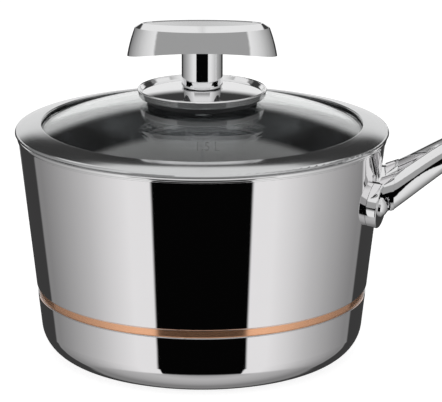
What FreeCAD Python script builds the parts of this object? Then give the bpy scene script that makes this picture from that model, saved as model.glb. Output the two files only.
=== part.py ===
"""Saucepan with a glass lid: five-ply pan, forked steel handle, steel-rimmed lid and its knob.

Frame: origin at the centre of the pan's underside, +Z up, +X along the handle. Millimetres.
"""
import FreeCAD
import Part
import math
import os
import Sketcher
from FreeCAD import Placement, Rotation, Vector

doc = FreeCAD.newDocument("Saucepan")

# ---------------------------------------------------------------- driving sizes
driving = {
    # pan wall: a straight cone that leans out, over a round base corner
    "footRadius": 77.7,        # where the outer wall line would meet the table
    "wallLean": 6.2,           # degrees from upright
    "cornerRadius": 15.5,
    "rimHeight": 109.6,
    "outerSteel": 0.5,
    "outerAluminium": 0.5,
    "copper": 0.5,
    "innerAluminium": 0.5,
    "innerSteel": 0.4,
    "bondLine": 0.02,
    "lipHeight": 2.7,
    "lipReach": 0.5,
    # the groove cut through the outer plies, which shows the copper
    "grooveLow": 29.9,
    "grooveHigh": 34.3,
    "grooveStep": 0.35,
    "grooveEase": 0.3,
    # rivets and foot plates of the handle
    "rivetHeight": 80.4,
    "rivetAngle": 10.6,
    "rivetShank": 3.0,
    "rivetHead": 5.4,
    "rivetDome": 3.1,
    "rivetInnerHead": 6.5,
    "rivetInnerThick": 1.3,
    "rivetPlay": 0.05,
    "rivetSag": 0.3,           # a flat head touches the hollow wall at its edges only
    "footDisc": 11.2,
    "footDiscHeight": 80.6,
    "footThick": 4.5,
    "footRise": 0.05,
    # handle: two prongs, a yoke, a hollow grip and a hanging end
    "footEase": 0.7,
    "neckInset": 3.2,
    "neckLift": 3.4,
    "neckTall": 9.8,
    "neckWide": 6.2,
    "prongRootX": 95.1,
    "prongRootY": 13.9,
    "prongRootZ": 86.6,
    "prongRootTall": 8.8,
    "yokeX": 117.0,
    "yokeY": 5.8,
    "yokeZ": 101.6,
    "yokeTall": 7.6,
    "prongWide": 5.0,
    "gripX": 131.0,
    "gripZ": 110.3,
    "gripTall": 6.5,
    "gripWide": 10.6,
    "gripSwell": 1.4,
    "gripWall": 1.2,
    "gripLength": 138.0,
    "gripRise": 31.5,
    "gripEndRise": 10.0,
    "endLength": 26.0,
    "eyeRadius": 4.5,
    "eyeSetback": 12.0,
    # lid: rim ring, glass and its seal
    "ringRadius": 91.0,
    "ringInner": 78.1,
    "ringTop": 114.4,
    "ringFall": 2.5,           # how far the ring's face drops on its way out
    "ringSheet": 0.7,
    "seatGap": 0.05,
    "skirtRadius": 86.0,
    "skirtLow": 104.3,
    "skirtReturn": 82.4,
    "domeRadius": 224.0,
    "domeTop": 126.5,
    "glassThick": 4.0,
    "glassRadius": 84.2,
    "glassHole": 5.0,
    # knob
    "knobTurn": 8.0,
    "discRadius": 31.5,
    "discTop": 131.3,
    "discFoot": 127.0,
    "discDip": 1.7,
    "floorRadius": 180.0,
    "gasketRadius": 27.0,
    "stemRadius": 10.0,
    "pullHigh": 161.2,
    "pullCrown": 1.9,
    "pullLow": 147.3,
    "pullArch": 4.3,
    "pullTopLong": 32.5,
    "pullTopWide": 15.0,
    "pullFootLong": 36.3,
    "pullFootWide": 18.3,
    "plateLong": 28.4,
    "plateWide": 7.6,
    "plateDeep": 0.8,
    "screwRadius": 3.0,
    "screwHead": 6.0,
    "screwHeadTall": 3.6,
    "washerRadius": 10.0,
    "washerThick": 1.0,
    "sealThick": 1.6,
}

sheet = doc.addObject("Spreadsheet::Sheet", "Sizes")
for row, (alias, value) in enumerate(driving.items(), start=1):
    sheet.set(f"A{row}", alias)
    sheet.set(f"B{row}", str(value))
    sheet.setAlias(f"B{row}", alias)
doc.recompute()


def size(expression):
    """The value of an expression written with the sheet's names."""
    value = sheet.evalExpression(bind(expression))
    return float(getattr(value, "Value", value))


def bind(expression):
    """The same expression with each alias pointing at the sheet."""
    words = []
    word = ""
    for letter in str(expression) + " ":
        if letter.isalnum() or letter == "_":
            word += letter
            continue
        words.append(f"Sizes.{word}" if word in driving else word)
        words.append(letter)
        word = ""
    return "".join(words).strip()


# ---------------------------------------------------------------- sketch helpers
def origin_feature(body, role):
    return next(item for item in body.Origin.OriginFeatures if item.Role == role)


def hold_point(sketch, edge, end, x, y):
    """Dimension one end of an edge from the sketch's origin."""
    for kind, axis, expression in (("DistanceX", -2, x), ("DistanceY", -1, y)):
        value = size(expression)
        if abs(value) < 1e-9:
            sketch.addConstraint(Sketcher.Constraint("PointOnObject", edge, end, axis))
            continue
        rule = Sketcher.Constraint(kind, -1, 1, edge, end, value)
        number = sketch.addConstraint(rule)
        if value > 0:
            sketch.setExpression(f"Constraints[{number}]", bind(expression))


def arc_between(start, finish, radius, turn):
    """Arc of a radius from start to finish; turn is +1 for anticlockwise."""
    chord = finish - start
    half = chord.Length / 2
    offset = math.sqrt(max(radius**2 - half**2, 0))
    side = Vector(-chord.y, chord.x, 0).normalize() * offset * turn
    centre = (start + finish) / 2 + side
    first = math.atan2(start.y - centre.y, start.x - centre.x)
    last = math.atan2(finish.y - centre.y, finish.x - centre.x)
    if turn < 0:
        first, last = last, first
    circle = Part.Circle(centre, Vector(0, 0, 1), radius)
    return Part.ArcOfCircle(circle, first, last if last > first else last + 2 * math.pi)


def closed_profile(body, name, plane, points):
    """Closed outline. A point is (x, y), or (x, y, radius, turn) where an arc leaves it."""
    sketch = body.newObject("Sketcher::SketchObject", name)
    sketch.AttachmentSupport = [(origin_feature(body, plane), "")]
    sketch.MapMode = "FlatFace"
    corners = [Vector(size(point[0]), size(point[1]), 0) for point in points]
    ends = []
    for index, point in enumerate(points):
        start = corners[index]
        finish = corners[(index + 1) % len(points)]
        if len(point) == 2:
            edge = sketch.addGeometry(Part.LineSegment(start, finish), False)
            ends.append((edge, 1, 2))
            continue
        arc = arc_between(start, finish, size(point[2]), point[3])
        edge = sketch.addGeometry(arc, False)
        ends.append((edge, 1, 2) if point[3] > 0 else (edge, 2, 1))
        number = sketch.addConstraint(Sketcher.Constraint("Radius", edge, size(point[2])))
        sketch.setExpression(f"Constraints[{number}]", bind(point[2]))
    for index, (edge, _, last) in enumerate(ends):
        following, first, _ = ends[(index + 1) % len(ends)]
        sketch.addConstraint(Sketcher.Constraint("Coincident", edge, last, following, first))
    for (edge, first, _), point in zip(ends, points):
        hold_point(sketch, edge, first, point[0], point[1])
    return sketch


def turned(name, points):
    """Body of revolution about Z; the outline's x is the radius and its y the height."""
    body = doc.addObject("PartDesign::Body", name)
    sketch = closed_profile(body, name + "_outline", "XZ_Plane", points)
    turn = body.newObject("PartDesign::Revolution", name + "_turn")
    turn.Profile = sketch
    turn.ReferenceAxis = (sketch, ["V_Axis"])
    turn.Angle = 360
    sketch.Visibility = False
    doc.recompute()
    return body


def cut(name, base, tool):
    result = doc.addObject("Part::Cut", name)
    result.Base = base
    result.Tool = tool
    return result


def fuse(name, shapes):
    result = doc.addObject("Part::MultiFuse", name)
    result.Shapes = shapes
    return result


def cylinder(name, radius, height, placement):
    result = doc.addObject("Part::Cylinder", name)
    result.setExpression("Radius", bind(radius))
    result.setExpression("Height", bind(height))
    result.Placement = placement
    return result


# ---------------------------------------------------------------- pan wall and base
lean = "tan(wallLean * 1 deg)"
upright = "cos(wallLean * 1 deg)"
tilt = "sin(wallLean * 1 deg)"
cornerX = f"(footRadius + cornerRadius * {lean} - cornerRadius / {upright})"
depths = {"outer": "0"}
depths["aluminium"] = "outerSteel"
depths["core"] = "(outerSteel + outerAluminium)"
depths["inner"] = "(outerSteel + outerAluminium + copper)"
depths["liner"] = "(outerSteel + outerAluminium + copper + innerAluminium)"
depths["inside"] = "(outerSteel + outerAluminium + copper + innerAluminium + innerSteel)"


def wall_x(height, depth):
    """Radius of the surface that lies a depth inside the outer wall, at a height."""
    return f"footRadius + ({height}) * {lean} - ({depth}) / {upright}"


def corner_top(depth):
    """Where the base corner's arc meets the wall."""
    radius = f"(cornerRadius - {depth})"
    return f"{cornerX} + {radius} * {upright}", f"cornerRadius - {radius} * {tilt}"


def cup(name, outer, inner, top, rim=None):
    """One ply of the pan, from the middle of its base up to a height."""
    low = f"({outer} + bondLine)" if outer != "0" else "0"
    outside = corner_top(low)
    inside = corner_top(inner)
    points = [
        ("0", low),
        (cornerX, low, f"cornerRadius - {low}", 1),
        outside,
        *(rim or [(wall_x(top, low), top), (wall_x(top, inner), top)]),
        (*inside, f"cornerRadius - {inner}", -1),
        (cornerX, inner),
        ("0", inner),
    ]
    return turned(name, points)


def wall_band(name, outer, inner, bottom, top, ease="0"):
    """One ply of the wall above the groove, its lower edge eased."""
    low = f"({outer} + bondLine)" if outer != "0" else "0"
    points = [
        (wall_x(f"{bottom} + {ease}", low), f"{bottom} + {ease}"),
        (wall_x(top, low), top),
        (wall_x(top, inner), top),
        (wall_x(bottom, inner), bottom),
    ]
    if ease != "0":
        points.append((wall_x(bottom, f"{low} + {ease}"), bottom))
    return turned(name, points)


lip_low = "(rimHeight - lipHeight)"
under_lip = f"({lip_low} - bondLine)"

# The liner runs up the inside, over the ends of the other plies and down as a rounded lip.
liner_low = f"({depths['liner']} + bondLine)"
lip = [
    (wall_x(under_lip + " + bondLine", liner_low), lip_low),
    (wall_x(lip_low, "0"), lip_low),
    (wall_x(lip_low, "-lipReach"), f"{lip_low} + 0.25"),
    (wall_x(f"{lip_low} + 0.8", "-lipReach"), f"{lip_low} + 0.8", "1.3", 1),
    (wall_x("rimHeight", "0.6"), "rimHeight"),
    (wall_x("rimHeight", f"{depths['inside']} + 0.3"), "rimHeight", "0.6", 1),
    (wall_x("rimHeight - 0.5", depths["inside"]), "rimHeight - 0.5"),
]
plies = {
    "inner_steel_liner": cup("liner_blank", depths["liner"], depths["inside"], lip_low, lip),
    "inner_aluminium_layer": cup("inner_blank", depths["inner"], depths["liner"], under_lip),
    "copper_core": cup("core_blank", depths["core"], depths["inner"], under_lip),
    "outer_aluminium_wall": wall_band(
        "aluminium_band", depths["aluminium"], depths["core"], "(grooveHigh - grooveStep)", under_lip
    ),
    "outer_steel_wall": wall_band(
        "steel_band", "0", depths["aluminium"], "grooveHigh", under_lip, "grooveEase"
    ),
}
base_aluminium = cup(
    "outer_aluminium_base", depths["aluminium"], depths["core"], "(grooveLow + grooveStep)"
)
base_steel = cup("outer_steel_base", "0", depths["aluminium"], "grooveLow")

# ---------------------------------------------------------------- rivets
# A rivet's axis is square to the leaning wall, at the rivet's height.
head_seat = f"(rivetInnerThick + rivetSag + {depths['inside']} + footRise + footThick + bondLine)"


def on_wall(side, outward, height):
    """Placement at the wall, local Z pointing straight out of it."""
    turn = Rotation(Vector(0, 0, 1), side * size("rivetAngle"))
    out = Vector(math.cos(math.radians(size("wallLean"))), 0, -math.sin(math.radians(size("wallLean"))))
    spot = Vector(size(f"footRadius + ({height}) * {lean}"), 0, size(height)) + out * outward
    face = Rotation(Vector(0, 1, 0), 90 + size("wallLean"))
    return Placement(turn.multVec(spot), turn.multiply(face))


sides = {"front": -1, "rear": 1}
rivets = []
holes = {}
for side_name, side in sides.items():
    rivet = turned(
        f"{side_name}_rivet",
        [
            ("0", "0.4"),
            ("rivetInnerHead - 0.5", "0.4"),
            ("rivetInnerHead", "rivetInnerThick"),
            ("rivetShank", "rivetInnerThick"),
            ("rivetShank", head_seat),
            ("rivetHead", head_seat),
            ("rivetHead", f"{head_seat} + 0.6", "6.4", 1),
            ("1.5", f"{head_seat} + rivetDome"),
            ("1.1", f"{head_seat} + rivetDome - 0.5"),
            ("0", f"{head_seat} + rivetDome - 0.5"),
        ],
    )
    outward = size(f"footRise + footThick + bondLine - {head_seat}")
    rivet.Placement = on_wall(side, outward, "rivetHeight")
    rivets.append(rivet)
    hole_place = on_wall(side, -5, "rivetHeight")
    hole = cylinder(f"{side_name}_rivet_hole", "rivetShank + rivetPlay", "14", hole_place)
    holes[side_name] = hole
rivet_pair = doc.addObject("Part::Compound", "handle_rivets")
rivet_pair.Links = rivets
hole_pair = doc.addObject("Part::Compound", "rivet_holes")
hole_pair.Links = list(holes.values())

nodes = {"outer_aluminium_base": base_aluminium, "outer_steel_base": base_steel}
for name, blank in plies.items():
    nodes[name] = cut(name, blank, hole_pair)
nodes["handle_rivets"] = rivet_pair

# ---------------------------------------------------------------- handle
up = Vector(0, 0, 1)
outward_x = Vector(1, 0, 0)


def oval(name, tall, wide, centre, along):
    """Upright or flat ellipse square to a direction, for lofting."""
    along = Vector(along).normalize()
    side = up.cross(along).normalize()
    rise_line = along.cross(side)
    ring = doc.addObject("Part::Ellipse", name)
    upright_oval = size(tall) > size(wide)
    major, minor = (tall, wide) if upright_oval else (wide, tall)
    ring.setExpression("MajorRadius", bind(major))
    ring.setExpression("MinorRadius", bind(minor))
    axes = (rise_line, -side) if upright_oval else (side, rise_line)
    ring.Placement = Placement(Vector(centre), Rotation(*axes, along, "ZXY"))
    return ring


def loft(name, sections, ruled=False):
    result = doc.addObject("Part::Loft", name)
    result.Sections = sections
    result.Solid = True
    result.Ruled = ruled
    return result


# Feet: a round plate that hugs the wall, flat on its face, and a short neck up to the prong.
foot_low = "(footDiscHeight - footDisc - 3)"
foot_high = "(footDiscHeight + footDisc + 3)"
foot_face = "(footRise + footThick)"
foot_ring = turned(
    "foot_ring",
    [
        (wall_x(foot_low, "-footRise"), foot_low),
        (wall_x(foot_low, f"-{foot_face} - 3"), foot_low),
        (wall_x(foot_high, f"-{foot_face} - 3"), foot_high),
        (wall_x(foot_high, "-footRise"), foot_high),
    ],
)
for side_name, side in sides.items():
    disc = turned(
        f"{side_name}_foot_outline",
        [
            ("0", "0"),
            ("footDisc", "0"),
            ("footDisc", f"8 + {foot_face} - footEase", "footEase", 1),
            ("footDisc - footEase", f"8 + {foot_face}"),
            ("0", f"8 + {foot_face}"),
        ],
    )
    disc.Placement = on_wall(side, -8, "footDiscHeight")
    plate = doc.addObject("Part::MultiCommon", f"{side_name}_foot_plate")
    plate.Shapes = [foot_ring, disc]
    plate_spot = on_wall(side, 3, "footDiscHeight")
    neck_start = plate_spot.Base + Vector(0, -side * size("neckInset"), size("neckLift"))
    root = Vector(size("prongRootX - bondLine"), side * size("prongRootY"), size("prongRootZ"))
    neck = loft(
        f"{side_name}_neck",
        [
            oval(f"{side_name}_neck_low", "neckTall", "neckWide", neck_start, plate_spot.Rotation.multVec(up)),
            oval(f"{side_name}_neck_high", "prongRootTall + 0.3", "prongWide + 0.3", root, outward_x),
        ],
        ruled=True,
    )
    foot = fuse(f"{side_name}_foot_blank", [plate, neck])
    room_place = on_wall(side, size(foot_face), "rivetHeight")
    head_room = cylinder(f"{side_name}_head_room", "rivetHead + 0.25", "rivetDome + 0.5", room_place)
    foot_cutter = fuse(f"{side_name}_foot_cutter", [head_room, holes[side_name]])
    nodes[f"handle_foot_{side_name}"] = cut(f"handle_foot_{side_name}", foot, foot_cutter)

# Fork: two deep prongs that start on the necks and close on a yoke.
rise = math.radians(size("gripRise"))
prongs = []
for side_name, side in sides.items():
    root = Vector(size("prongRootX"), side * size("prongRootY"), size("prongRootZ"))
    yoke = Vector(size("yokeX"), side * size("yokeY"), size("yokeZ"))
    beyond = Vector(size("gripX") - 3, side * 4.6, size("gripZ") - 1.9)
    stations = [
        (root, "prongRootTall", "prongWide"),
        (root * 0.5 + yoke * 0.5, "(prongRootTall + yokeTall) / 2", "prongWide - 0.1"),
        (yoke, "yokeTall", "prongWide - 0.1"),
        (beyond, "yokeTall - 1.6", "prongWide"),
    ]
    sections = [
        oval(f"{side_name}_prong_{number}", tall, wide, centre, outward_x)
        for number, (centre, tall, wide) in enumerate(stations)
    ]
    prongs.append(loft(f"{side_name}_prong", sections))

ahead = Vector(math.cos(rise), 0, math.sin(rise))
grip_start = Vector(size("gripX"), 0, size("gripZ"))
yoke_core = loft(
    "yoke_core",
    [
        oval("yoke_back", "yokeTall - 2.4", "8.0", grip_start - ahead * 14, ahead),
        oval("yoke_mid", "yokeTall - 1.3", "9.8", grip_start - ahead * 7, ahead),
        oval("yoke_front", "gripTall", "gripWide", grip_start, ahead),
    ],
)
nodes["handle_fork"] = fuse("handle_fork", [*prongs, yoke_core])

# Grip: a hollow oval tube whose centre line is an arc that eases from one rise to the other.
end_rise = math.radians(size("gripEndRise"))
bend = size("gripLength") / (rise - end_rise)


def grip_point(share):
    """Centre and direction at a share of the grip's length."""
    angle = rise + (end_rise - rise) * share
    x = size("gripX") + bend * (math.sin(rise) - math.sin(angle))
    z = size("gripZ") + bend * (math.cos(angle) - math.cos(rise))
    return Vector(x, 0, z), Vector(math.cos(angle), 0, math.sin(angle))


def grip_loft(name, wall):
    sections = []
    for number in range(6):
        share = number / 5
        centre, along = grip_point(share)
        swell = round(math.sin(math.pi * share), 4)
        sections.append(
            oval(
                f"{name}_{number}",
                f"gripTall + {swell} * gripSwell * 0.4 - {share} * 0.5 - {wall}",
                f"gripWide + {swell} * gripSwell - {share} * 0.6 - {wall}",
                centre + along * (size("bondLine") if number == 0 else 0),
                along,
            )
        )
    return loft(name, sections)


nodes["handle_grip_tube"] = cut(
    "handle_grip_tube", grip_loft("grip_outside", "0"), grip_loft("grip_inside", "gripWall")
)

# Hanging end: a flattened, round-tipped casting with the eye through it.
tip, tip_along = grip_point(1)
end_sections = []
for number, (reach, tall, wide) in enumerate(
    ((0.02, "gripTall - 0.5", "gripWide - 0.6"), (7, "gripTall - 1.6", "gripWide - 0.5"),
     (14, "3.2", "gripWide - 0.8"), (size("endLength") + 4, "2.8", "gripWide - 1.2"))
):
    end_sections.append(oval(f"end_{number}", tall, wide, tip + tip_along * reach, tip_along))
end_blank = loft("end_blank", end_sections)
end_up = Vector(0, -1, 0).cross(tip_along)
end_turn = Rotation(tip_along, Vector(0, 1, 0), end_up, "ZXY")
eye = tip + tip_along * (size("endLength") - size("eyeSetback"))
tip_round = cylinder("tip_round", "eyeSetback", "30", Placement(eye - end_up * 15, end_turn))
tip_block = doc.addObject("Part::Box", "tip_block")
tip_block.setExpression("Length", bind("endLength - eyeSetback"))
tip_block.Width = 40
tip_block.Height = 30
tip_block.Placement = Placement(tip - end_up * 15 - Vector(0, 20, 0), end_turn)
tip_outline = fuse("tip_outline", [tip_round, tip_block])
end_shape = doc.addObject("Part::MultiCommon", "end_shape")
end_shape.Shapes = [end_blank, tip_outline]
eye_hole = cylinder("eye_hole", "eyeRadius", "30", Placement(eye - end_up * 15, end_turn))
nodes["handle_hanging_end"] = cut("handle_hanging_end", end_shape, eye_hole)

# ---------------------------------------------------------------- lid
seat = "(rimHeight + seatGap)"
nodes["lid_rim_ring"] = turned(
    "lid_rim_ring",
    [
        ("ringInner", "ringTop - 1.5"),
        ("ringInner", "ringTop - 0.6", "0.6", -1),
        ("ringInner + 0.6", "ringTop", "60", -1),
        ("ringRadius - 1.2", "ringTop - ringFall", "1.5", -1),
        ("ringRadius", "ringTop - ringFall - 1.4"),
        ("ringRadius - 0.75", seat),
        ("skirtRadius", seat),
        ("skirtRadius", "skirtLow"),
        ("skirtReturn", "skirtLow"),
        ("skirtReturn", "skirtLow + ringSheet"),
        ("skirtRadius - ringSheet", "skirtLow + ringSheet"),
        ("skirtRadius - ringSheet", f"{seat} + ringSheet"),
        ("ringRadius - 1", f"{seat} + ringSheet"),
        ("ringRadius - 1", f"{seat} + ringSheet + 0.25"),
        ("ringRadius - 1.4", "ringTop - ringFall - ringSheet", "60 - ringSheet", 1),
        ("ringInner + ringSheet", "ringTop - ringSheet - 0.05"),
        ("ringInner + ringSheet", "ringTop - 1.5"),
    ],
)


def dome(radius, depth="0"):
    """Height of the glass, a depth below its top face, at a radius."""
    ball = f"(domeRadius - ({depth}))"
    return f"(domeTop - domeRadius + sqrt({ball}^2 - ({radius})^2))"


nodes["lid_glass"] = turned(
    "lid_glass",
    [
        ("glassHole", dome("glassHole")),
        ("glassHole", dome("glassHole", "glassThick"), "domeRadius - glassThick", -1),
        ("glassRadius", dome("glassRadius", "glassThick")),
        ("glassRadius", dome("glassRadius"), "domeRadius", 1),
    ],
)

# The seal fills the ring around the glass edge, above, beside and below it.
seal_in = "ringInner + 1"
seal_out = "skirtRadius - ringSheet - bondLine"
seal_foot = "skirtReturn + 0.3"
nodes["glass_edge_seal"] = turned(
    "glass_edge_seal",
    [
        (seal_in, dome(seal_in, "-bondLine"), "domeRadius + bondLine", -1),
        ("glassRadius + bondLine", dome("glassRadius + bondLine", "-bondLine")),
        (
            "glassRadius + bondLine",
            dome("glassRadius + bondLine", "glassThick + bondLine"),
            "domeRadius - glassThick - bondLine",
            1,
        ),
        (seal_foot, dome(seal_foot, "glassThick + bondLine")),
        (seal_foot, "skirtLow + ringSheet + bondLine"),
        (seal_out, "skirtLow + ringSheet + bondLine"),
        (seal_out, "ringTop - 2.2"),
        (seal_in, "ringTop - 1.0"),
    ],
)

# ---------------------------------------------------------------- knob and its fixing
shank_room = "(screwRadius + 0.1)"
gasket_bore = "(screwRadius + 0.3)"
nodes["knob_upper_gasket"] = turned(
    "knob_upper_gasket",
    [
        (gasket_bore, dome("0", "glassThick - 0.4")),
        ("glassHole - 0.05", dome("0", "glassThick - 0.4")),
        ("glassHole - 0.05", dome("glassHole - 0.05", "-bondLine"), "domeRadius + bondLine", -1),
        ("gasketRadius", dome("gasketRadius", "-bondLine")),
        ("gasketRadius", "discFoot - 0.5", "0.5", 1),
        ("gasketRadius - 0.5", "discFoot"),
        (gasket_bore, "discFoot"),
    ],
)
under_glass = dome("0", "glassThick + sealThick")
nodes["knob_lower_gasket"] = turned(
    "knob_lower_gasket",
    [
        (gasket_bore, under_glass),
        ("washerRadius + 1", under_glass),
        (
            "washerRadius + 1",
            dome("washerRadius + 1", "glassThick + bondLine"),
            "domeRadius - glassThick - bondLine",
            1,
        ),
        (gasket_bore, dome(gasket_bore, "glassThick + bondLine")),
    ],
)
washer_top = f"({under_glass} - bondLine)"
washer_low = f"({washer_top} - washerThick)"
nodes["knob_washer"] = turned(
    "knob_washer",
    [
        (shank_room, washer_low),
        ("washerRadius", washer_low),
        ("washerRadius", washer_top),
        (shank_room, washer_top),
    ],
)
screw_seat = f"({washer_low} - bondLine)"
nodes["knob_screw"] = turned(
    "screw_blank",
    [
        ("0", f"{screw_seat} - screwHeadTall"),
        ("screwHead - 1.6", f"{screw_seat} - screwHeadTall", "2.2", 1),
        ("screwHead", f"{screw_seat} - 1.6"),
        ("screwHead", screw_seat),
        ("screwRadius", screw_seat),
        ("screwRadius", "pullLow - 1"),
        ("screwRadius - 0.6", "pullLow - 0.4"),
        ("0", "pullLow - 0.4"),
    ],
)
slot = doc.addObject("Part::Box", "driver_slot")
slot.Length = 20
slot.Width = 1.4
slot.Height = 1.4
slot.Placement = Placement(Vector(-10, -0.7, size(f"{screw_seat} - screwHeadTall") - 0.1), Rotation())
nodes["knob_screw"] = cut("knob_screw", nodes["knob_screw"], slot)

# The disc's floor is a shallow dome that dips below its raised edge.
floor_edge = "(discRadius - 2.6)"
floor_apex = f"(discTop - discDip + floorRadius - sqrt(floorRadius^2 - {floor_edge}^2))"


def disc_floor(radius):
    return f"({floor_apex} - floorRadius + sqrt(floorRadius^2 - ({radius})^2))"


nodes["knob_base_disc"] = turned(
    "knob_base_disc",
    [
        (shank_room, "discFoot + bondLine"),
        ("discRadius - 3.0", "discFoot + bondLine", "9", 1),
        ("discRadius - 1.2", "discFoot + 0.4", "0.8", 1),
        ("discRadius - 0.7", "discFoot + 0.9"),
        ("discRadius", "discTop - 0.6", "0.6", 1),
        ("discRadius - 0.6", "discTop", "0.8", 1),
        ("discRadius - 1.3", "discTop - 0.4"),
        (floor_edge, disc_floor(floor_edge), "floorRadius", 1),
        (shank_room, disc_floor(shank_room)),
    ],
)
stem_foot = f"({disc_floor(shank_room)} + bondLine)"
boss = "(pullLow + pullArch - 0.45)"
nodes["knob_stem"] = turned(
    "knob_stem",
    [
        ("screwRadius + 0.02", stem_foot),
        ("stemRadius - 0.8", stem_foot, "0.8", 1),
        ("stemRadius", f"{stem_foot} + 0.8"),
        ("stemRadius", f"{boss} - bondLine"),
        ("stemRadius - 3", f"{boss} - bondLine"),
        ("stemRadius - 3", f"{boss} + 4"),
        ("screwRadius + 0.02", f"{boss} + 4"),
    ],
)

# Pull: oval, its sides flaring down to an arched underside, its crown holding a plain plate.
knob_turn = Rotation(Vector(0, 0, 1), size("knobTurn"))


def level_oval(name, long, wide, height):
    ring = doc.addObject("Part::Ellipse", name)
    ring.setExpression("MajorRadius", bind(long))
    ring.setExpression("MinorRadius", bind(wide))
    ring.Placement = Placement(Vector(0, 0, size(height)), knob_turn)
    return ring


pull_body = loft(
    "pull_body",
    [
        level_oval("pull_foot", "pullFootLong", "pullFootWide", "pullLow"),
        level_oval("pull_waist", "pullFootLong - 1.5", "pullFootWide - 1.5", "(pullLow + pullHigh) / 2"),
        level_oval("pull_edge", "pullTopLong", "pullTopWide", "pullHigh"),
    ],
)
pull_crown = loft(
    "pull_crown",
    [
        level_oval("crown_foot", "pullTopLong", "pullTopWide", "pullHigh"),
        level_oval("crown_top", "plateLong + 0.8", "plateWide + 0.8", "pullHigh + pullCrown"),
    ],
)
pull_socket = cylinder("pull_socket", "stemRadius - 2.98", "4.1", Placement())
pull_socket.Placement = Placement(Vector(0, 0, size(f"{boss}")), Rotation())
arch = cylinder("pull_arch", "(pullFootLong^2 + pullArch^2) / (2 * pullArch)", "60", Placement())
arch_drop = size("pullLow + pullArch - (pullFootLong^2 + pullArch^2) / (2 * pullArch)")
arch_turn = knob_turn.multiply(Rotation(Vector(1, 0, 0), 90))
arch.Placement = Placement(knob_turn.multVec(Vector(0, 30, 0)) + Vector(0, 0, arch_drop), arch_turn)
plate_bed = doc.addObject("Part::Extrusion", "plate_bed")
plate_bed.Base = level_oval("bed_outline", "plateLong", "plateWide", "pullHigh + pullCrown - plateDeep")
plate_bed.Dir = Vector(0, 0, 1)
plate_bed.LengthFwd = 5
plate_bed.Solid = True
stem_boss = cylinder("stem_boss", "stemRadius + 0.6", "3", Placement())
stem_boss.Placement = Placement(Vector(0, 0, size(boss)), Rotation())
pull_shape = fuse("pull_shape", [pull_body, pull_crown])
pull_open = cut("pull_open", pull_shape, arch)
pull_solid = fuse("pull_solid", [pull_open, stem_boss])
pull_cutter = fuse("pull_cutter", [pull_socket, plate_bed])
nodes["knob_pull"] = cut("knob_pull", pull_solid, pull_cutter)
plate = doc.addObject("Part::Extrusion", "knob_top_plate")
plate.Base = level_oval(
    "plate_outline", "plateLong - 0.05", "plateWide - 0.05", "pullHigh + pullCrown - plateDeep + bondLine"
)
plate.Dir = Vector(0, 0, 1)
plate.setExpression("LengthFwd", bind("plateDeep - 0.3"))
plate.Solid = True
nodes["knob_top_plate"] = plate

# ---------------------------------------------------------------- check and write
doc.recompute()
for item in doc.Objects:
    if "Invalid" in item.State or "Error" in item.State:
        raise SystemExit(f"{item.Label} failed: {item.State}")

os.makedirs("parts", exist_ok=True)
for name, item in nodes.items():
    item.Label = name
    shape = item.Shape
    if shape.isNull() or not shape.isValid() or not shape.Solids:
        raise SystemExit(f"{name} has no valid solid")
    shape.exportStep(os.path.join("parts", f"{name}.step"))
    print(f"{name}: {len(shape.Solids)} solid, {shape.Volume:.0f} mm3")
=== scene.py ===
import bpy
import bmesh
import math
from mathutils import Matrix


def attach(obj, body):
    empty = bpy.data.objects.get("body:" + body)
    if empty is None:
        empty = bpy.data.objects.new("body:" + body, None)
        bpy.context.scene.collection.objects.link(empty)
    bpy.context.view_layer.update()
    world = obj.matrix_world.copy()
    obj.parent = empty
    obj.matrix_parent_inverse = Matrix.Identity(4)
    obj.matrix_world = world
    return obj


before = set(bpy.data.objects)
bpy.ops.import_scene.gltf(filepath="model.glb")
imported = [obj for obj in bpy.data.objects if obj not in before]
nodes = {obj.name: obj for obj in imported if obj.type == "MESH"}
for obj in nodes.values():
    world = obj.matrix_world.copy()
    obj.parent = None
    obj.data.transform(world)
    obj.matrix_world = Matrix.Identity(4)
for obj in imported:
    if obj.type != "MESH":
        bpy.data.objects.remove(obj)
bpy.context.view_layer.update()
scene = bpy.context.scene
print("frame loaded:", len(nodes), "nodes")

# Camera: in front of the pan, a little above it, with the handle turned 8 degrees towards it.
camera = {
    "turn": 8.0,         # degrees between the handle and the picture plane
    "distance": 1.1518,  # metres along the floor to the pan's axis
    "height": 0.3918,
    "pitch": 15.413,     # degrees below level
    "pan": 0.464,        # degrees to the right of the pan's axis
    "roll": 0.2,
    "lens": 198.2,
    "sensor": 36.0,
    "farLimit": 50.0,
}


def turnedAbout(axis, degrees):
    return Matrix.Rotation(math.radians(degrees), 4, axis)


def addCamera(facts):
    data = bpy.data.cameras.new("camera")
    data.lens = facts["lens"]
    data.sensor_width = facts["sensor"]
    data.clip_end = facts["farLimit"]
    thing = bpy.data.objects.new("camera", data)
    scene.collection.objects.link(thing)
    place = Matrix.Translation((0.0, -facts["distance"], facts["height"]))
    aim = turnedAbout("Z", -facts["pan"]) @ turnedAbout("X", 90.0 - facts["pitch"])
    aim = aim @ turnedAbout("Z", facts["roll"])
    thing.matrix_world = turnedAbout("Z", facts["turn"]) @ place @ aim
    scene.camera = thing


addCamera(camera)
scene.view_settings.view_transform = "Standard"
print("camera set")


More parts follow.
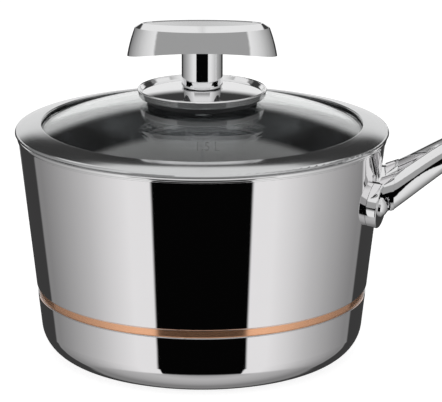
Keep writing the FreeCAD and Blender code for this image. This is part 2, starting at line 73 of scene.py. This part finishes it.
class Wire:
    # One socket of a node tree. Arithmetic on it adds Math nodes.
    def __init__(self, tree, socket=None):
        self.tree = tree
        self.socket = socket

    def add(self, kind, settings, inputs, output=0):
        node = self.tree.nodes.new(kind)
        for name, value in settings.items():
            if name != "stops":
                setattr(node, name, value)
                continue
            ramp = node.color_ramp
            while len(ramp.elements) < len(value):
                ramp.elements.new(0.5)
            for stop, (place, shade) in zip(ramp.elements, value):
                stop.position = place
                stop.color = (*shade, 1.0)
        for name, value in inputs.items():
            if isinstance(value, Wire):
                self.tree.links.new(value.socket, node.inputs[name])
            else:
                node.inputs[name].default_value = value
        return Wire(self.tree, node.outputs[output])

    def maths(self, operation, *values):
        return self.add("ShaderNodeMath", {"operation": operation}, dict(enumerate(values)))

    def noise(self, place, scale, detail):
        return self.add("ShaderNodeTexNoise", {}, {"Vector": place, "Scale": scale, "Detail": detail})

    def part(self, axis):
        return self.add("ShaderNodeSeparateXYZ", {}, {0: self}, axis)

    def ramped(self, value, stops):
        stops = [(place, (tone, tone, tone)) for place, tone in stops]
        return self.add("ShaderNodeValToRGB", {"stops": stops}, {"Fac": value}).part(0)

    # 0 below low, 1 above high, with an eased slope between.
    def between(self, low, high):
        ranged = {"interpolation_type": "SMOOTHSTEP"}
        limits = {"Value": self, "From Min": low, "From Max": high}
        return self.add("ShaderNodeMapRange", ranged, limits)

    def __add__(self, other):
        return self.maths("ADD", self, other)

    def __radd__(self, other):
        return self.maths("ADD", other, self)

    def __sub__(self, other):
        return self.maths("SUBTRACT", self, other)

    def __rsub__(self, other):
        return self.maths("SUBTRACT", other, self)

    def __mul__(self, other):
        return self.maths("MULTIPLY", self, other)

    def __rmul__(self, other):
        return self.maths("MULTIPLY", other, self)

    def __truediv__(self, other):
        return self.maths("DIVIDE", self, other)


# A studio of large panels around the pan, seen only as reflections. Angles are degrees:
# around is 0 behind the camera and 180 behind the pan, height is 0 at the horizon.
studio = {
    "backdropTone": 1.0,     # what the camera itself sees past the floor
    # share of half a turn: tone of the side softboxes
    "sideBoxes": (
        (0.19, 0.83), (0.27, 0.83), (0.36, 0.69), (0.45, 0.52), (0.53, 0.41), (0.617, 0.31), (0.69, 0.24),
    ),
    # from behind the pan at 0 to the camera's side at 1: tone of the table
    "tableSheen": ((0.35, 0.22), (0.5, 0.38), (0.70, 0.50), (0.78, 0.42), (0.86, 0.20)),
    "tableFull": -51.0,
    "tableGone": -45.0,
    # around from, to, height from, to, soft edge, tone; a later panel covers an earlier one
    "panels": {
        "backWall": (132.0, 181.0, -95.0, 62.0, 1.5, 0.045),
        "sweep": (132.0, 181.0, 5.0, 18.0, 3.0, 0.86),
        "lowSweep": (165.0, 181.0, -14.0, 8.0, 3.0, 0.86),
        "farCeiling": (100.0, 181.0, 40.0, 95.0, 2.0, 0.85),
        "frontWall": (-2.0, 46.0, -4.0, 24.0, 2.0, 0.36),
        "flag": (-2.0, 33.0, -95.0, -4.0, 1.2, 0.0015),
        "ceiling": (-2.0, 181.0, 60.0, 95.0, 8.0, 0.85),
    },
}


def insidePanel(value, low, high, soft):
    return value.between(low - soft, low + soft) * (1.0 - value.between(high - soft, high + soft))


def buildWorld(facts):
    world = bpy.data.worlds.new("studio")
    scene.world = world
    world.use_nodes = True
    tree = world.node_tree
    tree.nodes.clear()
    start = Wire(tree)
    ray = start.add("ShaderNodeTexCoord", {}, {}, "Generated")
    facing = {"Vector": ray, "Angle": math.radians(-camera["turn"])}
    turned = start.add("ShaderNodeVectorRotate", {"rotation_type": "Z_AXIS"}, facing)
    toward = turned.part(1) * -1.0
    degrees = 180.0 / math.pi
    around = start.maths("ABSOLUTE", start.maths("ARCTAN2", turned.part(0), toward)) * degrees
    height = start.maths("ARCSINE", turned.part(2)) * degrees
    light = start.ramped(around / 180.0, facts["sideBoxes"])
    for low, high, bottom, top, soft, tone in facts["panels"].values():
        inside = insidePanel(around, low, high, soft) * insidePanel(height, bottom, top, soft)
        light = light * (1.0 - inside) + tone * inside
    table = 1.0 - height.between(facts["tableFull"], facts["tableGone"])
    light = light * (1.0 - table) + start.ramped(toward * 0.5 + 0.5, facts["tableSheen"]) * table
    seen = start.add("ShaderNodeLightPath", {}, {}, "Is Camera Ray")
    light = light * (1.0 - seen) + facts["backdropTone"] * seen
    colour = start.add("ShaderNodeCombineColor", {}, {0: light, 1: light, 2: light})
    glow = start.add("ShaderNodeBackground", {}, {"Color": colour, "Strength": 1.0})
    output = tree.nodes.new("ShaderNodeOutputWorld")
    tree.links.new(glow.socket, output.inputs["Surface"])


buildWorld(studio)


def newMaterial(name):
    material = bpy.data.materials.new(name)
    material.use_nodes = True
    return material, material.node_tree.nodes["Principled BSDF"], Wire(material.node_tree)


def feed(surface, name, value):
    if isinstance(value, Wire):
        value.tree.links.new(value.socket, surface.inputs[name])
    else:
        surface.inputs[name].default_value = value


floorFacts = {
    "radius": 9.0,
    "corners": 96,
    "drop": 0.0002,          # keeps it just clear of the pan's base
    "tone": (0.55, 0.55, 0.55),
    "glow": 0.78,
    "roughness": 0.9,
}


def addFloor(facts):
    mesh = bpy.data.meshes.new("floor")
    shape = bmesh.new()
    bmesh.ops.create_circle(shape, cap_ends=True, segments=facts["corners"], radius=facts["radius"])
    shape.to_mesh(mesh)
    shape.free()
    floor = bpy.data.objects.new("floor", mesh)
    scene.collection.objects.link(floor)
    paint, surface, _ = newMaterial("paleFloor")
    feed(surface, "Base Color", (*facts["tone"], 1.0))
    feed(surface, "Roughness", facts["roughness"])
    feed(surface, "Specular IOR Level", 0.0)
    feed(surface, "Emission Color", (1.0, 1.0, 1.0, 1.0))
    feed(surface, "Emission Strength", facts["glow"])
    mesh.materials.append(paint)
    floor.location.z = -facts["drop"]
    floor.visible_glossy = False


addFloor(floorFacts)
print("studio built")


def blended(start, factor, first, second):
    shades = {"Factor": factor, "A": (*first, 1.0), "B": (*second, 1.0)}
    return start.add("ShaderNodeMix", {"data_type": "RGBA"}, shades, 2)


def scaled(tone, share):
    return tuple(level * share for level in tone)


# Buffed to a mirror, with faint polishing smears and hairlines.
def mirrorFinish(name, facts):
    material, surface, start = newMaterial(name)
    place = start.add("ShaderNodeTexCoord", {}, {}, "Object")
    smear = start.noise(place, facts["smearScale"], 3.0)
    hairline = start.noise(place, facts["hairlineScale"], 2.0)
    worn = facts["smearShare"] * smear + facts["hairlineShare"] * hairline
    feed(surface, "Roughness", facts["roughness"] + facts["wear"] * worn)
    smeared = scaled(facts["tone"], facts["contrast"])
    feed(surface, "Base Color", blended(start, smear, facts["tone"], smeared))
    feed(surface, "Metallic", facts["metallic"])
    return material


# Turned on a lathe: fine rings round the pan's axis, long along the cut.
def turnedFinish(name, facts):
    material, surface, start = newMaterial(name)
    place = start.add("ShaderNodeTexCoord", {}, {}, "Object")
    across = start.maths("SQRT", place.part(0) * place.part(0) + place.part(1) * place.part(1))
    angle = start.maths("ARCTAN2", place.part(1), place.part(0))
    along = angle * facts["smear"]
    unrolled = start.add("ShaderNodeCombineXYZ", {}, {0: across, 1: place.part(2), 2: along})
    grain = start.noise(unrolled, facts["lines"], 3.0)
    roughness = facts["roughness"] * (facts["smoothest"] + facts["spread"] * grain)
    colour = blended(start, grain, scaled(facts["tone"], facts["contrast"]), facts["tone"])
    if facts.get("polishedFrom"):
        rim = place.part(2).between(facts["polishedFrom"], facts["polishedTo"])
        roughness = roughness * (1.0 - rim) + facts["rimRoughness"] * rim
        shades = {"Factor": rim, "A": colour, "B": (*facts["rimTone"], 1.0)}
        colour = start.add("ShaderNodeMix", {"data_type": "RGBA"}, shades, 2)
    feed(surface, "Roughness", roughness)
    feed(surface, "Base Color", colour)
    feed(surface, "Metallic", facts["metallic"])
    if facts["relief"]:
        lines = {"Height": grain, "Strength": facts["relief"], "Distance": facts["lineDepth"]}
        feed(surface, "Normal", start.add("ShaderNodeBump", {}, lines))
    return material


# Clear glass with a little haze in patches.
def clearGlass(name, facts):
    material, surface, start = newMaterial(name)
    feed(surface, "Base Color", (*facts["tone"], 1.0))
    place = start.add("ShaderNodeTexCoord", {}, {}, "Object")
    haze = start.noise(place, facts["hazeScale"], 4.0)
    hazy = haze.between(facts["hazeFrom"], facts["hazeFull"])
    feed(surface, "Roughness", facts["roughness"] * hazy)
    feed(surface, "IOR", facts["ior"])
    feed(surface, "Transmission Weight", 1.0)
    return material


# Matt silicone rubber with a fine grain.
def softRubber(name, facts):
    material, surface, start = newMaterial(name)
    place = start.add("ShaderNodeTexCoord", {}, {}, "Object")
    grain = start.noise(place, facts["grainScale"], 3.0)
    lighter = scaled(facts["tone"], facts["contrast"])
    feed(surface, "Base Color", blended(start, grain, facts["tone"], lighter))
    feed(surface, "Roughness", facts["roughness"] + facts["spread"] * grain)
    pores = {"Height": grain, "Strength": facts["relief"], "Distance": facts["poreDepth"]}
    feed(surface, "Normal", start.add("ShaderNodeBump", {}, pores))
    return material


mirrorFacts = {
    "tone": (0.90, 0.885, 0.895), "metallic": 1.0, "roughness": 0.015, "wear": 0.03,
    "smearScale": 38.0, "smearShare": 0.7, "hairlineScale": 1400.0, "hairlineShare": 0.3,
    "contrast": 0.965,
}
castFacts = {
    **mirrorFacts, "tone": (0.90, 0.90, 0.905), "roughness": 0.02, "wear": 0.04, "smearScale": 90.0,
}
ringFacts = {
    "tone": (0.72, 0.725, 0.73), "metallic": 1.0, "roughness": 0.12, "smoothest": 0.8, "spread": 0.4,
    "lines": 1500.0, "smear": 0.004, "contrast": 0.86, "relief": 0.05, "lineDepth": 0.00005,
}
# satin inside, its tone darkened as painted shade for the covered pan's inside; polished over the rolled
# lip, in the steel's own bright tone
insidePaintedShadeFacts = {
    **ringFacts, "tone": (0.36, 0.365, 0.375), "roughness": 0.09, "lines": 900.0, "contrast": 0.9,
    "relief": 0.0, "polishedFrom": 0.1058, "polishedTo": 0.1064, "rimRoughness": 0.03,
    "rimTone": (0.88, 0.875, 0.88),
}
copperFacts = {
    **ringFacts, "tone": (1.0, 0.53, 0.31), "metallic": 0.88, "lines": 2600.0, "relief": 0.03,
}
plyFacts = {**ringFacts, "tone": (0.78, 0.79, 0.80), "roughness": 0.28}
glassFacts = {
    "tone": (0.93, 0.955, 0.95), "ior": 1.5, "roughness": 0.012,
    "hazeScale": 60.0, "hazeFrom": 0.5, "hazeFull": 0.8,
}
rubberFacts = {
    "tone": (0.02, 0.02, 0.022), "contrast": 1.6, "roughness": 0.45, "spread": 0.15,
    "grainScale": 1500.0, "relief": 0.1, "poreDepth": 0.0002,
}
etchedFacts = {**rubberFacts, "tone": (0.012, 0.012, 0.013)}

mirror = mirrorFinish("mirrorSteel", mirrorFacts)
castMirror = mirrorFinish("castMirrorSteel", castFacts)
ringSteel = turnedFinish("brushedRing", ringFacts)
# the inside steel's dark tone is painted shade; only its satin roughness is the steel's own
insideSteelPaintedShade = turnedFinish("brushedInsidePaintedShade", insidePaintedShadeFacts)
copperBand = turnedFinish("turnedCopper", copperFacts)
innerPly = turnedFinish("plyAluminium", plyFacts)
glass = clearGlass("lidGlass", glassFacts)
rubber = softRubber("darkSilicone", rubberFacts)
etched = softRubber("etchedMark", etchedFacts)

finishes = {
    "outer_steel_wall": mirror, "outer_steel_base": mirror,
    "inner_steel_liner": insideSteelPaintedShade, "copper_core": copperBand,
    "inner_aluminium_layer": innerPly, "outer_aluminium_wall": innerPly, "outer_aluminium_base": innerPly,
    "handle_rivets": castMirror, "handle_foot_front": castMirror, "handle_foot_rear": castMirror,
    "handle_fork": castMirror, "handle_grip_tube": castMirror, "handle_hanging_end": castMirror,
    "lid_rim_ring": ringSteel, "lid_glass": glass, "glass_edge_seal": rubber,
    "knob_upper_gasket": rubber, "knob_lower_gasket": rubber, "knob_washer": ringSteel,
    "knob_screw": castMirror, "knob_base_disc": castMirror, "knob_stem": castMirror,
    "knob_pull": castMirror, "knob_top_plate": ringSteel,
}
for name, material in finishes.items():
    slots = nodes[name].data.materials
    slots.clear()
    slots.append(material)
print("finishes set")

# Volume marks on the pan's inner wall, on the side away from the camera.
marks = {
    "levels": (("0.5", 0.0310), ("1.0", 0.0570), ("1.5", 0.0813)),
    "lineFrom": 110.4,       # degrees round the pan from the handle
    "lineTo": 101.5,
    "textFrom": 100.8,
    "lineWidth": 0.0005,
    "lineSteps": 10,
    "lineRadius": 0.0843,    # metres from the axis, where the line's length is measured
    "letterSize": 0.0068,
    "thick": 0.0003,         # proud of the wall, so that the wall's facets don't cover them
    "lean": 6.2,             # the wall's lean from upright
    "footRadius": 0.0753,    # the inner wall's line carried down to the table
}


# Bends a flat mesh, drawn in X and Y from the origin, onto the leaning inner wall.
def wrapInside(shape, level, fromAngle, facts):
    rise = math.cos(math.radians(facts["lean"]))
    slope = math.tan(math.radians(facts["lean"]))
    for point in shape.verts:
        height = level + point.co.y * rise
        radius = facts["footRadius"] + height * slope - point.co.z
        angle = math.radians(fromAngle) - point.co.x / radius
        point.co = (radius * math.cos(angle), radius * math.sin(angle), height)


def addMarkLine(shape, level, facts):
    length = math.radians(facts["lineFrom"] - facts["lineTo"]) * facts["lineRadius"]
    bmesh.ops.create_grid(shape, x_segments=facts["lineSteps"], y_segments=1, size=0.5)
    bmesh.ops.translate(shape, verts=shape.verts, vec=(0.5, 0.0, 0.0))
    bmesh.ops.scale(shape, verts=shape.verts, vec=(length, facts["lineWidth"], 1.0))
    bmesh.ops.solidify(shape, geom=shape.faces[:], thickness=facts["thick"])
    wrapInside(shape, level, facts["lineFrom"], facts)


def addMarkLetters(shape, label, level, facts):
    words = bpy.data.curves.new(f"mark_{label}_text", "FONT")
    words.body = f"{label} L"
    words.size = facts["letterSize"]
    words.align_y = "CENTER"
    words.extrude = facts["thick"] / 2.0
    drawn = bpy.data.objects.new(words.name, words)
    scene.collection.objects.link(drawn)
    ready = drawn.evaluated_get(bpy.context.evaluated_depsgraph_get())
    flat = bpy.data.meshes.new_from_object(ready)
    bpy.data.objects.remove(drawn)
    letters = bmesh.new()
    letters.from_mesh(flat)
    bmesh.ops.remove_doubles(letters, verts=letters.verts, dist=1e-6)
    bmesh.ops.translate(letters, verts=letters.verts, vec=(0.0, 0.0, facts["thick"] / 2.0))
    wrapInside(letters, level, facts["textFrom"], facts)
    letters.to_mesh(flat)
    letters.free()
    shape.from_mesh(flat)


def addMark(label, level, facts):
    shape = bmesh.new()
    addMarkLine(shape, level, facts)
    addMarkLetters(shape, label, level, facts)
    bmesh.ops.recalc_face_normals(shape, faces=shape.faces)
    mesh = bpy.data.meshes.new("volume_mark_" + label.replace(".", "_"))
    shape.to_mesh(mesh)
    shape.free()
    mesh.materials.append(etched)
    mark = bpy.data.objects.new(mesh.name, mesh)
    scene.collection.objects.link(mark)
    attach(mark, "pan")


for label, level in marks["levels"]:
    addMark(label, level, marks)
print("volume marks set")
